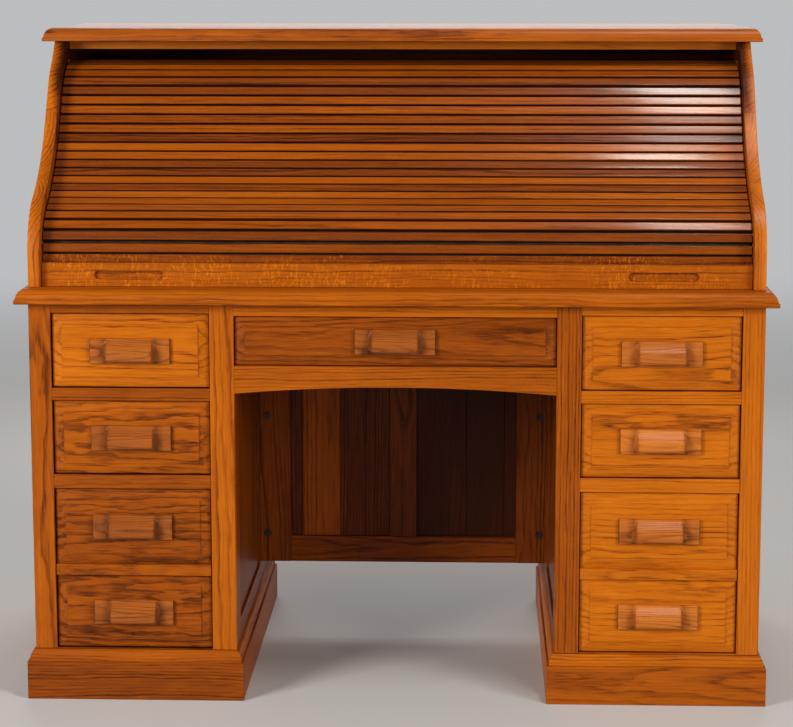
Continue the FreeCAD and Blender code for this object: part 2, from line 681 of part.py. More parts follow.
def canvas(start, end):
    """The cloth behind the slats, as a thin sheet that follows their line."""
    gap, thick = dim("canvas_gap"), dim("canvas_thick")
    half = dim("carcass_half") - dim("roll_thick") - dim("canvas_play")
    steps = round((end - start) / dim("slat_pitch")) * 2
    front, back = [], []
    for step in range(steps + 1):
        (y, z), lean = along_line(start + (end - start) * step / steps)
        for row, depth in ((front, gap), (back, gap + thick)):
            row.append(Vector(-half, dim("face_y") + y + depth * math.sin(lean), z - depth * math.cos(lean)))
    outline = Part.makePolygon(front + back[::-1] + front[:1])
    sheet_piece = doc.addObject("Part::Feature", "canvas")
    sheet_piece.Shape = Part.Face(outline).extrude(Vector(2 * half, 0, 0))
    return sheet_piece


# ---------------------------------------------------------------- pigeonholes
def gallery():
    """The case of pigeonholes on the slab, and its two small drawers."""
    board = "gallery_board"
    depth = ("gallery_y", "gallery_y + gallery_deep")
    inner_depth = ("gallery_y + gallery_set", "gallery_y + gallery_deep")
    top = ("gallery_top - gallery_board", "gallery_top")
    under = "gallery_top - gallery_board"
    pieces = [
        box(both("gallery_half"), depth, top),
        box(both("gallery_half"), ("gallery_y + gallery_deep", "gallery_y + gallery_deep + gallery_back"),
            ("slab_top", "gallery_top")),
    ]
    slots = 4
    for _, side in SIDES:
        pieces.append(box(span(side, f"gallery_half - {board}", "gallery_half"), depth, ("slab_top", under)))
        for line in ("gallery_outer", "gallery_inner"):
            pieces.append(box(span(side, line, f"{line} + {board}"), depth, ("slab_top", under)))
        bay = span(side, f"gallery_outer + {board}", f"gallery_half - {board}")
        pieces.append(box(bay, inner_depth, ("gallery_shelf", f"gallery_shelf + {board}")))
        pieces.append(box(bay, inner_depth, ("gallery_upper", f"gallery_upper + {board}")))
        room = f"(gallery_outer - gallery_inner - {board})"
        for gap in range(1, slots):
            line = f"gallery_inner + {board} + {room} * {gap} / {slots} - divider / 2"
            pieces.append(box(span(side, line, f"{line} + divider"), inner_depth, ("slab_top", under)))
    pieces.append(box(both("gallery_inner"), inner_depth, ("gallery_shelf", f"gallery_shelf + {board}")))
    pieces.append(box(both("gallery_inner"), inner_depth, ("gallery_upper", f"gallery_upper + {board}")))
    node("gallery_case", pieces)
    for name, side in SIDES:
        small_drawer(name, side)


def small_drawer(name, side):
    """A small drawer in one end bay: a front with a knob, and its box."""
    near, far = "gallery_outer + gallery_board + small_gap", "gallery_half - gallery_board - small_gap"
    low, high = "slab_top + small_gap", "gallery_shelf - small_gap"
    front, back = "gallery_y + small_set", "gallery_y + gallery_deep - small_short"
    behind, end = f"{front} + small_front", f"{back} - small_side"
    lower = (low, f"{high} - small_drop")
    inside = span(side, f"{near} + small_side", f"{far} - small_side")
    pieces = [
        box(span(side, near, far), (front, behind), (low, high)),
        box(span(side, near, f"{near} + small_side"), (behind, back), lower),
        box(span(side, f"{far} - small_side", far), (behind, back), lower),
        box(inside, (end, back), lower),
        box(inside, (behind, end), (low, f"{low} + small_bottom")),
    ]
    knob = rod(f"{side} * (({near}) + ({far})) / 2", f"{front} - knob_out", f"(({low}) + ({high})) / 2",
               "knob_radius", "knob_out", "knob")
    node(f"gallery_{name}_drawer", pieces + [knob])


# ---------------------------------------------------------------- the whole desk
def build():
    for name, side in SIDES:
        plinth(name, side)
        face_frame(name, side)
        framed_side(f"{name}_outer_side", side, "carcass_half - side_thick", "side_middle")
        framed_side(f"{name}_inner_side", side, "knee_half", "modesty_front - side_thick")
        runners(name, side)
        pedestal_drawers(name, side)
        roll_side(name, side)
    pedestal_boards()
    centre_drawer()
    kneehole()
    slab_and_top()
    gallery()
    curtain()
    doc.recompute()


def write_parts():
    """Check every object, then write one STEP file for each node."""
    for piece in doc.Objects:
        if "Invalid" in piece.State or "Error" in piece.State:
            raise RuntimeError(f"{piece.Label} failed: {piece.State}")
    for piece in NODES:
        if piece.Shape.isNull() or not piece.Shape.isValid():
            raise RuntimeError(f"{piece.Label} has no valid shape")
    os.makedirs("parts", exist_ok=True)
    for piece in NODES:
        piece.Shape.exportStep(f"parts/{piece.Label}.step")
    print(len(NODES), "nodes")


build()
write_parts()
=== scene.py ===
"""Looks of the roll top desk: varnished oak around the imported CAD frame, in metres."""
import json
import math
import random

import bmesh
import bpy
import numpy as np
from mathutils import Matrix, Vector


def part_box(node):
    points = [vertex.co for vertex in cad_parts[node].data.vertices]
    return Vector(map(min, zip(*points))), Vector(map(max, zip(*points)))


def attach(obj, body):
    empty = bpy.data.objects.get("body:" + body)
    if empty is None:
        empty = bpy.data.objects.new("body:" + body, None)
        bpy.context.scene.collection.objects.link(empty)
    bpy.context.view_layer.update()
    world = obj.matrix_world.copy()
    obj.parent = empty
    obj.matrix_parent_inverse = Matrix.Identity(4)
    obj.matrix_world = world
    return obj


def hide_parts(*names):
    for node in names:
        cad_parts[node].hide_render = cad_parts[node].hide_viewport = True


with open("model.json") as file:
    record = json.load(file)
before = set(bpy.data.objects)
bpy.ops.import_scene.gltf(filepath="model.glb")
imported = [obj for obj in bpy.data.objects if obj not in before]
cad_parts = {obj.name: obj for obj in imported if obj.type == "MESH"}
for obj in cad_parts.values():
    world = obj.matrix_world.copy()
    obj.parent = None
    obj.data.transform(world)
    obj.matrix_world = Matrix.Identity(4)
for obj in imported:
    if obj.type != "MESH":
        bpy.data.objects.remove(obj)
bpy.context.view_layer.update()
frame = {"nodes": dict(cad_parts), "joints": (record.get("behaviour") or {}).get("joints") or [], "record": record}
NODES, BODY_OF = frame["nodes"], {}
for body, members in frame["record"]["behaviour"]["bodies"].items():
    BODY_OF.update({member: body for member in members})

MM = 0.001
X, Y, Z = 0, 1, 2
NO_STRIPS = 10.0    # a strip this wide means that a board isn't glued up
SHARP = math.radians(20)    # edges sharper than this are eased
WELD = 0.02 * MM    # points of a CAD mesh nearer than this are one
SLAT_SHADE = 6 * MM    # depth below a slat's face at which its painted shade is black
MARKS = ("grain", "board", "finish")    # what each vertex tells the oak about its board; finish holds its tone, its painted shade and how bold its rings are


# ---------------------------------------------------------------- materials
class Tree:
    """The nodes of one material. Each call adds a node and gives back its output."""

    def __init__(self, name):
        self.material = bpy.data.materials.new(name)
        self.material.use_nodes = True
        self.nodes, self.links = self.material.node_tree.nodes, self.material.node_tree.links
        self.nodes.clear()

    def add(self, kind, inputs, output=0, **settings):
        made = self.nodes.new(kind)
        for name, value in settings.items():
            setattr(made, name, value)
        for name, value in inputs.items():
            if isinstance(value, bpy.types.NodeSocket):
                self.links.new(value, made.inputs[name])
            else:
                made.inputs[name].default_value = value
        return made.outputs[output] if made.outputs else None

    def maths(self, operation, *values):
        return self.add("ShaderNodeMath", dict(enumerate(values)), operation=operation)

    def attribute(self, name):
        return self.add("ShaderNodeAttribute", {}, "Vector", attribute_name=name)

    def split(self, vector):
        parts = self.add("ShaderNodeSeparateXYZ", {"Vector": vector}).node.outputs
        return parts[0], parts[1], parts[2]

    def join(self, x, y, z):
        return self.add("ShaderNodeCombineXYZ", {"X": x, "Y": y, "Z": z})

    def stretched(self, place, scales, shift):
        """place, scaled along each axis and moved by a board's own shift."""
        return self.add("ShaderNodeVectorMath", {0: place, 1: scales, 2: shift},
                        operation="MULTIPLY_ADD")

    def scaled(self, place, scale):
        return self.add("ShaderNodeVectorMath", {0: place, "Scale": scale}, operation="SCALE")

    def noise(self, vector, detail=2.0, rough=0.5, twist=0.0):
        """Noise from 0 to 1 with one cell to a unit."""
        return self.add("ShaderNodeTexNoise", {"Vector": vector, "Scale": 1.0, "Detail": detail,
                                               "Roughness": rough, "Distortion": twist}, "Fac")

    def remap(self, value, low, high, to_low=0.0, to_high=1.0, smooth=False):
        return self.add("ShaderNodeMapRange",
                        {"Value": value, "From Min": low, "From Max": high,
                         "To Min": to_low, "To Max": to_high},
                        interpolation_type="SMOOTHSTEP" if smooth else "LINEAR")

    def ramp(self, value, stops):
        made = self.add("ShaderNodeValToRGB", {"Fac": value}).node
        elements = made.color_ramp.elements
        while len(elements) < len(stops):
            elements.new(0.5)
        for element, (place, colour) in zip(elements, stops):
            element.position, element.color = place, (*colour, 1)
        return made.outputs["Color"]

    def surface(self, colour, roughness, height, bump, **plain):
        """Ends the tree in a principled shader with a bump."""
        normal = self.add("ShaderNodeBump", {"Height": height, "Strength": 1.0, "Distance": bump},
                          "Normal")
        inputs = {"Base Color": colour, "Roughness": roughness, "Normal": normal}
        inputs.update({name.replace("_", " "): value for name, value in plain.items()})
        shader = self.add("ShaderNodeBsdfPrincipled", inputs)
        self.add("ShaderNodeOutputMaterial", {"Surface": shader})
        return self.material


def oak(name, stops, pith, deep, tilt, ring=6.0 * MM, streaks=0.32, rays=0.0, rough=0.40, coat=0.06,
        gloss=0.17, tones=0.20, figure=0.36):
    """Oak whose yearly rings are cut by each board's own faces.

    The rings lie round a pith line that runs along the board, off to its side by up to pith and
    below its middle by the range in deep, and leans by up to tilt, which draws the cathedrals.
    ring is the yearly growth. streaks, rays, tones and figure say how much the pores, the ray
    flecks, the boards' own chances and the early wood change the tone.
    """
    t = Tree(name)
    along, across, through = t.split(t.attribute("grain"))
    chance_a, chance_b, strip = t.split(t.attribute("board"))
    number = t.maths("FLOOR", t.maths("ADD", t.maths("DIVIDE", across, strip), 0.5))
    across = t.maths("SUBTRACT", across, t.maths("MULTIPLY", number, strip))
    own = t.add("ShaderNodeTexWhiteNoise", {"Vector": t.join(chance_a, chance_b, number)}, "Color")
    one, two, three = t.split(own)
    shift = t.stretched(own, (37, 53, 71), (0, 0, 0))
    place = t.join(along, across, through)

    drift = t.noise(t.stretched(place, (2.2, 9, 9), shift), 3)
    waver = t.noise(t.stretched(place, (14, 60, 60), shift), 2)
    aside = t.maths("MULTIPLY_ADD", one, 2 * pith, -pith)
    side = t.maths("MULTIPLY_ADD", drift, 0.020, t.maths("SUBTRACT", across, aside))
    below = t.maths("MULTIPLY_ADD", two, deep[1] - deep[0], deep[0])
    lean = t.remap(three, 0, 1, -tilt, tilt)
    under = t.maths("MULTIPLY_ADD", along, lean, t.maths("ADD", through, below))
    under = t.maths("MULTIPLY_ADD", drift, 0.026, under)
    radius = t.maths("SQRT", t.maths("ADD", t.maths("MULTIPLY", side, side),
                                     t.maths("MULTIPLY", under, under)))
    # the finish mark's middle part is painted shade, which darkens the tone and thins the coat
    own_tone, painted_shade, bold = t.split(t.attribute("finish"))
    spacing = t.maths("MULTIPLY_ADD", bold, ring, ring)
    phase = t.maths("MULTIPLY_ADD", waver, t.maths("MULTIPLY_ADD", bold, 1.4, 0.8),
                    t.maths("DIVIDE", radius, spacing))
    year = t.maths("FRACT", phase)
    vigour = t.add("ShaderNodeTexWhiteNoise", {"W": t.maths("ADD", t.maths("FLOOR", phase), one)},
                   "Value", noise_dimensions="1D")
    wide = t.maths("MULTIPLY_ADD", vigour, 0.4, 0.35)
    early = t.maths("SUBTRACT", 1.0, t.remap(year, 0.02, wide, smooth=True))
    early = t.maths("MULTIPLY", early, t.remap(year, 0.0, 0.16, smooth=True))
    early = t.maths("MULTIPLY", early, t.maths("MULTIPLY_ADD", vigour, 0.7, 0.3))

    pores = t.noise(t.stretched(place, (24, 520, 520), shift), 1)
    pores = t.remap(pores, 0.50, 0.68)
    pores = t.maths("MULTIPLY", pores, t.maths("MULTIPLY_ADD", early, 0.7, 0.3))
    fibre = t.noise(t.stretched(place, (14, 240, 240), shift), 3, 0.65)
    cloud = t.noise(t.stretched(place, (2.5, 16, 16), shift), 3, 0.6)

    tone = t.maths("MULTIPLY_ADD", cloud, 0.50, 0.42)
    tone = t.maths("MULTIPLY_ADD", fibre, 0.36, t.maths("SUBTRACT", tone, 0.18))
    tone = t.maths("MULTIPLY_ADD", early, -figure, tone)
    tone = t.maths("MULTIPLY_ADD", pores, -streaks, tone)
    tone = t.maths("MULTIPLY_ADD", three, tones, t.maths("SUBTRACT", tone, tones / 2))
    tone = t.maths("SUBTRACT", t.maths("ADD", tone, own_tone), painted_shade)
    if rays:
        fleck = t.noise(t.stretched(place, (210, 60, 60), shift), 1, twist=1.6)
        patch = t.noise(t.stretched(place, (9, 20, 20), shift), 2)
        fleck = t.maths("MULTIPLY", t.remap(fleck, 0.54, 0.68), t.remap(patch, 0.38, 0.60))
        tone = t.maths("MULTIPLY_ADD", fleck, rays, tone)
    roughness = t.maths("MULTIPLY_ADD", cloud, 0.16, rough - 0.08)
    roughness = t.maths("MULTIPLY_ADD", pores, 0.18, roughness)
    height = t.maths("MULTIPLY_ADD", early, -0.35, t.maths("MULTIPLY", pores, -1.0))
    return t.surface(t.ramp(tone, stops), roughness, height, 0.12 * MM, Specular_IOR_Level=0.10,
                     Coat_Weight=t.maths("MULTIPLY", t.remap(two, 0.2, 0.7, 0.2 * coat, coat),
                                         t.remap(painted_shade, 0.0, 0.5, 1.0, 0.0)),
                     Coat_Roughness=gloss)


def canvas_cloth(name):
    """Heavy unbleached canvas: a plain weave of about ten threads to the centimetre, coloured nearly black as
    painted shade where it shows between the slats.
    """
    t = Tree(name)
    x, y, z = t.split(t.add("ShaderNodeTexCoord", {}, "Object"))
    thread = 2 * math.pi / (1.0 * MM)
    warp = t.maths("SINE", t.maths("MULTIPLY", x, thread))
    weft = t.maths("SINE", t.maths("MULTIPLY", t.maths("ADD", y, z), thread))
    weave = t.maths("MULTIPLY", warp, weft)
    wear = t.noise(t.scaled(t.join(x, y, z), 30), 4)
    tone = t.maths("MULTIPLY_ADD", weave, 0.12, wear)
    # nearly black: painted shade in the gaps between the slats
    colour = t.ramp(tone, [(0.2, (0.022, 0.014, 0.008)), (0.8, (0.075, 0.052, 0.030))])
    return t.surface(colour, 0.9, weave, 0.15 * MM, Specular_IOR_Level=0.1)


def dark_steel(name):
    t = Tree(name)
    wear = t.noise(t.scaled(t.add("ShaderNodeTexCoord", {}, "Object"), 160), 4)
    colour = t.ramp(wear, [(0.3, (0.02, 0.018, 0.016)), (0.7, (0.10, 0.085, 0.07))])
    return t.surface(colour, t.remap(wear, 0, 1, 0.3, 0.6), wear, 0.05 * MM, Metallic=1.0)


GOLD, HONEY, AMBER = (0.80, 0.245, 0.008), (0.57, 0.142, 0.003), (0.38, 0.082, 0.002)
RUSSET, UMBER = (0.185, 0.035, 0.002), (0.045, 0.008, 0.001)


def browns(russet, amber, honey):
    """The varnished oak's colours, from dark to light, with the places of the middle ones."""
    return [(0.0, UMBER), (russet, RUSSET), (amber, AMBER), (honey, HONEY), (1.0, GOLD)]


FINISHES = {
    "oak_case": oak("oak_case", browns(0.22, 0.48, 0.72), pith=0.16, deep=(0.02, 0.10), tilt=0.022),
    "oak_polished": oak("oak_polished", browns(0.22, 0.48, 0.72), pith=0.16, deep=(0.02, 0.10),
                        tilt=0.022, coat=0.6, gloss=0.33),
    "oak_front": oak("oak_front", browns(0.20, 0.42, 0.66), pith=0.045, deep=(0.03, 0.09),
                     tilt=0.055, ring=7.5 * MM, streaks=0.50),
    "oak_pull": oak("oak_pull", [(0.0, (0.05, 0.012, 0.003)), (0.35, (0.20, 0.050, 0.008)),
                                 (0.65, (0.42, 0.110, 0.014)), (1.0, (0.70, 0.215, 0.030))],
                    pith=0.03, deep=(0.02, 0.05), tilt=0.06, ring=4.5 * MM, coat=0.15),
    # the slats' oak has darker stops than the case's: painted shade on slats that face up
    "oak_slat": oak("oak_slat", browns(0.30, 0.62, 0.86), pith=0.20, deep=(0.02, 0.12), tilt=0.012,
                    tones=0.5, rough=0.30, coat=0.6, gloss=0.13, figure=0.30),
    "oak_rail": oak("oak_rail", browns(0.20, 0.44, 0.70), pith=0.12, deep=(0.02, 0.06), tilt=0.012,
                    rays=0.45),
    "oak_inside": oak("oak_inside", browns(0.28, 0.58, 0.88), pith=0.12, deep=(0.02, 0.10),
                      tilt=0.03, rough=0.42, coat=0.15),
    "drawer_wood": oak("drawer_wood", [(0.0, (0.20, 0.10, 0.035)), (0.45, (0.42, 0.25, 0.11)),
                                       (1.0, (0.62, 0.42, 0.22))], pith=0.15, deep=(0.03, 0.12),
                       tilt=0.03, rough=0.55, coat=0.0, figure=0.25, streaks=0.15),
    "canvas": canvas_cloth("canvas"),
    "bolt_steel": dark_steel("bolt_steel"),
}


# nodes glossier than the rest
POLISHED = {"left_roll_side", "right_roll_side", "frieze_rail", "top_board"}


# ---------------------------------------------------------------- boards
def chances(name):
    """A seeded source of the random draws of one piece."""
    return random.Random("desk " + name)


def no_shade(places):
    """No painted shade anywhere."""
    return np.zeros(len(places))


def mark_board(bm, verts, along, draws, strip=NO_STRIPS, tone=0.0, painted_shade=no_shade, bold=0.0):
    """Writes what the oak needs to know: places along, across and through a board, and its chances.

    Its painted shade argument gives how much darker the board is painted at each of its places, as
    shade, and bold is how much wider its rings are than usual.
    """
    places = np.array([v.co for v in verts])
    low, high = places.min(0), places.max(0)
    if along is None:
        along = int(np.argmax(high - low))
    across, through = sorted({X, Y, Z} - {along}, key=lambda axis: low[axis] - high[axis])
    local = (places - (low + high) / 2)[:, [along, across, through]]
    chance = (draws.random(), draws.random(), strip)
    write_marks(bm, verts, local, chance, tone, painted_shade(places), bold)


def mark_slat(bm, verts, draws, tone):
    """The same for a slat, which leans, with painted shade towards its foot on the canvas, in the grooves between
    slats.
    """
    places = np.array([v.co for v in verts])
    places -= (places.min(0) + places.max(0)) / 2
    _, axes = np.linalg.eigh(np.cov(places[:, [Y, Z]].T))
    out = axes[:, 0] if axes[0, 0] < axes[1, 0] else -axes[:, 0]
    through = places[:, [Y, Z]] @ out
    across = places[:, [Y, Z]] @ np.array([out[1], -out[0]])
    depth = through.max() - through
    write_marks(bm, verts, np.column_stack([places[:, X], across, through]),
                (draws.random(), draws.random(), NO_STRIPS), tone, depth / SLAT_SHADE)


def write_marks(bm, verts, local, chance, tone, painted_shade, bold=0.0):
    grain, board, finish = (bm.verts.layers.float_vector[name] for name in MARKS)
    for v, place, shade_here in zip(verts, local, painted_shade):
        v[grain], v[board], v[finish] = place, chance, (tone, shade_here, bold)


def new_bmesh():
    bm = bmesh.new()
    for name in MARKS:
        bm.verts.layers.float_vector.new(name)
    return bm


def solids(mesh):
    """The polygons of each closed solid in a CAD mesh, whose solids follow one another."""
    corner = [tuple(np.round(np.array(v.co) / WELD).astype(int)) for v in mesh.vertices]
    found, group, loose = [], [], set()
    for polygon in mesh.polygons:
        ring = [corner[i] for i in polygon.vertices]
        for a, b in zip(ring, ring[1:] + ring[:1]):
            if a != b:
                loose ^= {frozenset((a, b))}
        group.append([tuple(c * WELD for c in place) for place in ring])
        if not loose:
            found.append(group)
            group = []
    return found + [group] if group else found


def board_mesh(rings, bevel):
    """A bmesh of one solid from its faces' rings of points, joined up, with its arrises eased."""
    bm = new_bmesh()
    verts = {}
    for ring in rings:
        for place in ring:
            if place not in verts:
                verts[place] = bm.verts.new(place)
        corners = [verts[place] for place in ring]
        if len(set(corners)) == len(corners) and not bm.faces.get(corners):
            bm.faces.new(corners)
    bmesh.ops.recalc_face_normals(bm, faces=bm.faces)
    bmesh.ops.dissolve_limit(bm, angle_limit=math.radians(0.5), verts=bm.verts, edges=bm.edges)
    ease(bm, bevel)
    return bm


def ease(bm, bevel):
    """Rounds a bmesh's sharp edges off by a little."""
    if bevel:
        sharp = [e for e in bm.edges if len(e.link_faces) == 2 and e.calc_face_angle(0) > SHARP]
        bmesh.ops.bevel(bm, geom=sharp, offset=bevel, offset_type="OFFSET", segments=2, profile=0.5,
                        affect="EDGES", clamp_overlap=True)


def piece(name, bm, body, slot, replaced=()):
    """Makes a shown piece of a bmesh, with its finish, its body and the CAD nodes it stands for."""
    mesh = bpy.data.meshes.new(name)
    bm.to_mesh(mesh)
    bm.free()
    made = bpy.data.objects.new(name, mesh)
    bpy.context.scene.collection.objects.link(made)
    mesh.materials.append(FINISHES["oak_polished" if POLISHED & set(replaced) else slot])
    for polygon in mesh.polygons:
        polygon.use_smooth = True
    mesh.set_sharp_from_angle(angle=math.radians(50))
    normals = made.modifiers.new("even_normals", "WEIGHTED_NORMAL")
    normals.keep_sharp = True
    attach(made, body)
    if replaced:
        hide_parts(*replaced)
    return made


def slot_of(node):
    return NODES[node].data.materials[0].name.split(".")[0]


def merge(target, source):
    """Adds source's geometry to target and frees source."""
    mesh = bpy.data.meshes.new("part")
    source.to_mesh(mesh)
    source.free()
    target.from_mesh(mesh)
    bpy.data.meshes.remove(mesh)


def joinery(node, bevel, along=None, strip=NO_STRIPS, tone=0.0, keep=None, slats=False, painted_shade=no_shade,
            bold=0.0):
    """The bmesh of a CAD node's boards with eased arrises, each board with its own grain.

    keep is a test of a board's lowest and highest corner that says which boards to take, and tone
    is a number or what to work it out with from those corners.
    """
    bm, draws = new_bmesh(), chances(node)
    for rings in solids(NODES[node].data):
        points = np.array([p for ring in rings for p in ring])
        low, high = points.min(0), points.max(0)
        if keep and not keep(low, high):
            continue
        board = board_mesh(rings, bevel)
        own_tone = tone(low, high) if callable(tone) else tone
        if slats:
            mark_slat(board, board.verts, draws, own_tone)
        else:
            mark_board(board, board.verts, along, draws, strip, own_tone, painted_shade, bold)
        merge(bm, board)
    return bm


def boards(node, bevel=1.0 * MM, along=None, strip=NO_STRIPS, tone=0.0, slats=False, painted_shade=no_shade,
           bold=0.0):
    """Replaces a CAD node by the same boards with eased arrises."""
    bm = joinery(node, bevel, along, strip, tone, None, slats, painted_shade, bold)
    return piece(node + "_boards", bm, BODY_OF[node], slot_of(node), [node])


def grained(node, along=None, strip=NO_STRIPS, tone=0.0):
    """Gives a CAD node that stays its finish, and its boards their grain."""
    shown, draws = NODES[node], chances(node)
    mesh, slot = shown.data, slot_of(node)
    grain = np.zeros((len(mesh.vertices), 3), np.float32)
    board = np.zeros((len(mesh.vertices), 3), np.float32)
    places = np.array([v.co for v in mesh.vertices])
    first = 0
    for group in solids(mesh):
        used = sorted({i for p in mesh.polygons[first:first + len(group)] for i in p.vertices})
        first += len(group)
        low, high = places[used].min(0), places[used].max(0)
        lead = int(np.argmax(high - low)) if along is None else along
        across, through = sorted({X, Y, Z} - {lead}, key=lambda axis: low[axis] - high[axis])
        grain[used] = (places[used] - (low + high) / 2)[:, [lead, across, through]]
        board[used] = (draws.random(), draws.random(), strip)
    finish = np.tile(np.array((tone, 0, 0), np.float32), (len(mesh.vertices), 1))
    for name, values in zip(MARKS, (grain, board, finish)):
        layer = mesh.attributes.new(name, "FLOAT_VECTOR", "POINT")
        layer.data.foreach_set("vector", values.ravel())
    shown.material_slots[0].material = FINISHES[slot]


# ---------------------------------------------------------------- moulded boards
def quarter(wide, high, steps=6):
    """Points of a quarter ellipse from (wide, 0) round to (0, high)."""
    return [(wide * math.cos(math.pi / 2 * i / steps), high * math.sin(math.pi / 2 * i / steps))
            for i in range(steps + 1)]


def corners_at(low, high, inset, z):
    """The corners of a board whose front and ends are set in, from back left round the front."""
    return [(low[X] + inset, high[Y], z), (low[X] + inset, low[Y] + inset, z),
            (high[X] - inset, low[Y] + inset, z), (high[X] - inset, high[Y], z)]


def thumbnail(thick, curve, curve_high, lip):
    """The section of a top's edge as (inset, height) from low to high: a nose and a long curve."""
    nose, eased = thick - curve_high, 1.2 * MM
    foot = [(eased, 0.0), (0.0, eased), (0.0, 1.5 * MM)]
    lip_edge = [(0.0, nose - 0.8 * MM), (lip * 0.4, nose)]
    return foot + lip_edge + [(curve - x, nose + z) for x, z in quarter(curve - lip, curve_high)]


def moulded_slab(node, curve, curve_high, strip, tone):
    """A board with a moulding worked on its front and ends."""
    low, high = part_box(node)
    section = thumbnail(high.z - low.z, curve, curve_high, 2.5 * MM)
    bm = new_bmesh()
    levels = [[bm.verts.new(p) for p in corners_at(low, high, inset, low.z + z)]
              for inset, z in section]
    for lower, upper in zip(levels, levels[1:]):
        for i in range(4):
            j = (i + 1) % 4
            bm.faces.new((lower[i], lower[j], upper[j], upper[i]))
    bm.faces.new(levels[0])
    bm.faces.new(levels[-1])
    bmesh.ops.recalc_face_normals(bm, faces=bm.faces)
    mark_board(bm, bm.verts, X, chances(node), strip, tone)
    return piece(node + "_moulded", bm, BODY_OF[node], slot_of(node), [node])


moulded_slab("writing_slab", 20 * MM, 19 * MM, 95 * MM, tone=-0.14)
moulded_slab("top_board", 21 * MM, 18.5 * MM, 105 * MM, tone=-0.13)


def plinth(node, tone):
    """The plinth's boards, with a quarter-round cap mitred at its corners."""
    low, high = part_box(node)
    cap_foot, cap_in, cap_out = 71 * MM, 3 * MM, 14 * MM
    bm = joinery(node, 1.4 * MM, tone=tone, keep=lambda a, b: b[Z] < cap_foot + MM)
    outline = [(cap_out, cap_foot)]
    for x, z in quarter(cap_out - cap_in - 1.5 * MM, high.z - cap_foot - 1 * MM, 7):
        outline.append((cap_out - x, cap_foot + z))
    outline[1:1] = [(cap_in, cap_foot), (cap_in, cap_foot + 1 * MM)]
    outline.append((cap_out, high.z))
    draws = chances(node + " cap")
    rings = [corners_at(low, high, inset, z) for inset, z in outline]
    for start, along in ((0, Y), (1, X), (2, Y)):
        strip = new_bmesh()
        near = [strip.verts.new(ring[start]) for ring in rings]
        far = [strip.verts.new(ring[start + 1]) for ring in rings]
        for i in range(len(rings)):
            j = (i + 1) % len(rings)
            strip.faces.new((near[i], near[j], far[j], far[i]))
        strip.faces.new(near)
        strip.faces.new(far)
        bmesh.ops.recalc_face_normals(strip, faces=strip.faces)
        mark_board(strip, strip.verts, along, draws, tone=tone)
        merge(bm, strip)
    return piece(node + "_moulded", bm, BODY_OF[node], slot_of(node), [node])


plinth("left_plinth", -0.22)
plinth("right_plinth", -0.10)


# ---------------------------------------------------------------- pulls
PULL_SECTION = [   # (out from the front's face, height) of the middle of a pull, in mm
    (0, 23), (4.6, 23), (5.7, 22.5), (6, 21.3), (6.1, 20.2), (7.2, 19.0), (11, 15.2), (15, 11.2),
    (19, 7.0), (22, 3.4), (23.6, 0.6), (24, -2.0), (23.9, -6.0), (23.4, -11.0), (22.6, -14.6),
    (21.2, -16.6), (18.8, -17.2), (16.0, -16.2), (12.6, -14.8), (9.4, -15.2), (7.2, -17.2),
    (6.1, -19.8), (6, -21.3), (5.7, -22.5), (4.6, -23), (0, -23)]
PLATE_OUT = 6.0
PLATE_SLICE = slice(3, -4)    # points of the section that lie on the plate beside the grip
GRIP_FULL, GRIP_END = 41.0, 50.0    # half lengths of the grip at its full size and at its foot
PLATE_ENDS = {73.0: 1.4, 72.7: 0.4}    # how much the plate is eased at its ends, by half length


def grip_share(x):
    """How much of the grip stands out at x mm from the middle: its ends are scooped out."""
    reach = (abs(x) - GRIP_FULL) / (GRIP_END - GRIP_FULL)
    if reach <= 0:
        return 1.0 - 0.02 * (abs(x) / GRIP_FULL) ** 4
    reach = min(reach, 1.0)
    if reach <= 0.12:
        return 0.98 * (1 - 3.6 * reach)
    return 0.98 * (1 - math.sqrt(1 - (1 - reach) ** 2))


def one_pull(bm, centre, draws, tone):
    """Adds one carved pull. centre is the middle of its back, against the drawer front."""
    flat = [z for _, z in PULL_SECTION]
    flat[PLATE_SLICE] = np.linspace(flat[PLATE_SLICE][0], flat[PLATE_SLICE][-1],
                                    len(flat[PLATE_SLICE])).tolist()
    ends = [GRIP_FULL + (GRIP_END - GRIP_FULL) * k for k in (0, 0.05, 0.12, 0.25, 0.45, 0.7, 1.0)]
    stations = [0, 14, 28, 37] + ends + [60, 71.6] + sorted(PLATE_ENDS)
    stations = [-x for x in reversed(stations[1:])] + stations
    rows = []
    for x in stations:
        share = grip_share(x)
        eased = PLATE_ENDS.get(abs(x), 0.0)
        row = []
        for (out, z), z_flat in zip(PULL_SECTION, flat):
            if out > PLATE_OUT:
                out = PLATE_OUT + (out - PLATE_OUT) * share
            z = z_flat + (z - z_flat) * share
            if out > 1:
                out -= eased
            z -= math.copysign(eased * 0.6, z)
            row.append(bm.verts.new((centre[X] + x * MM, centre[Y] - out * MM, centre[Z] + z * MM)))
        rows.append(row)
    for a, b in zip(rows, rows[1:]):
        for i in range(len(a)):
            j = (i + 1) % len(a)
            bm.faces.new((a[i], a[j], b[j], b[i]))
    bm.faces.new(rows[0])
    bm.faces.new(rows[-1])

    # painted shade under the grip and in its scooped ends, and a painted shadow on the plate's outer ends
    def painted_shade(places):
        reach = np.abs(places[:, X] - centre[X]) / MM
        under = np.clip((centre[Z] - places[:, Z]) / MM - 13.5, 0, 3) / 3 * (reach < GRIP_END)
        scoop = 1 - np.clip(np.abs(reach - 46) / 8, 0, 1)
        return 0.08 * under + 0.26 * scoop + 0.5 * (reach > 72.5)
    mark_board(bm, [v for row in rows for v in row], X, draws, tone=tone, painted_shade=painted_shade)


